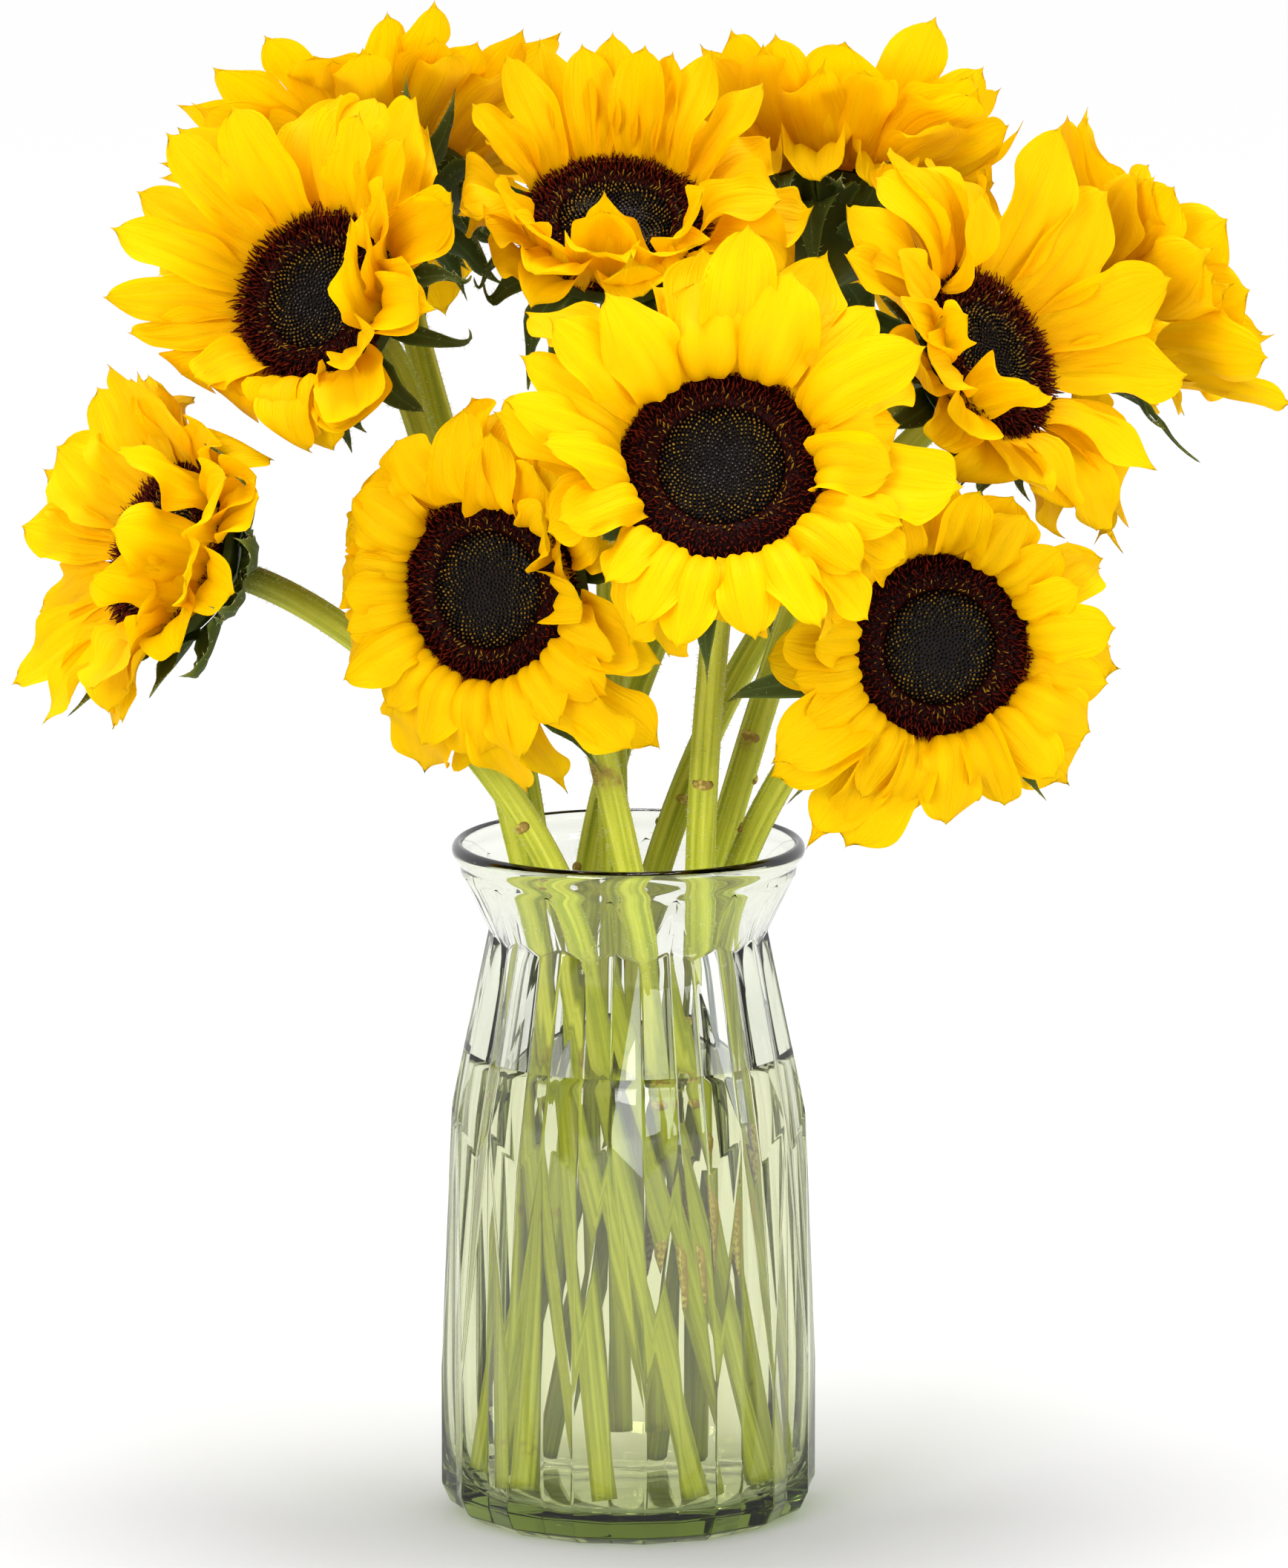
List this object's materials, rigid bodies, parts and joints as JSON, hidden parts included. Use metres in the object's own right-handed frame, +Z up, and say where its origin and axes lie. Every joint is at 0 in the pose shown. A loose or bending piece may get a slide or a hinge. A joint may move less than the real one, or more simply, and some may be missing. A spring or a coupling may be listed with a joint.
{
  "type": "sunflowers in a vase",
  "caption": "Cut sunflowers with open yellow petals and dark discs, standing in a pale green faceted glass vase part filled with water.",
  "frame": {"origin": "middle of the vase's flat underside, on the surface it stands on", "axes": "+Z up, through the vase's mouth; the largest flowers face -Y; +X to the right seen from there"},
  "size_m": [0.3923, 0.2885, 0.4798],
  "materials": {
    "glass": "clear pale green pressed glass",
    "water": "clear still water",
    "stem": "fresh green stem, cup and bracts with fine hairs",
    "petal": "fresh petal, satin, finely veined",
    "crown": "open dark red-brown florets",
    "middle": "closed dark florets in crossing spirals"
  },
  "bodies": {
    "root": {"vase": "glass", "water": "water", "stem_01": "stem", "petals_01": "petal", "crown_01": "crown", "middle_01": "middle", "stem_02": "stem", "petals_02": "petal", "crown_02": "crown", "middle_02": "middle", "stem_03": "stem", "petals_03": "petal", "crown_03": "crown", "middle_03": "middle", "stem_04": "stem", "petals_04": "petal", "crown_04": "crown", "middle_04": "middle", "stem_05": "stem", "petals_05": "petal", "crown_05": "crown", "middle_05": "middle", "stem_06": "stem", "petals_06": "petal", "crown_06": "crown", "middle_06": "middle", "stem_07": "stem", "petals_07": "petal", "crown_07": "crown", "middle_07": "middle", "stem_08": "stem", "petals_08": "petal", "crown_08": "crown", "middle_08": "middle", "stem_09": "stem", "petals_09": "petal", "crown_09": "crown", "middle_09": "middle", "stem_10": "stem", "petals_10": "petal", "crown_10": "crown", "middle_10": "middle"}
  },
  "joints": []
}
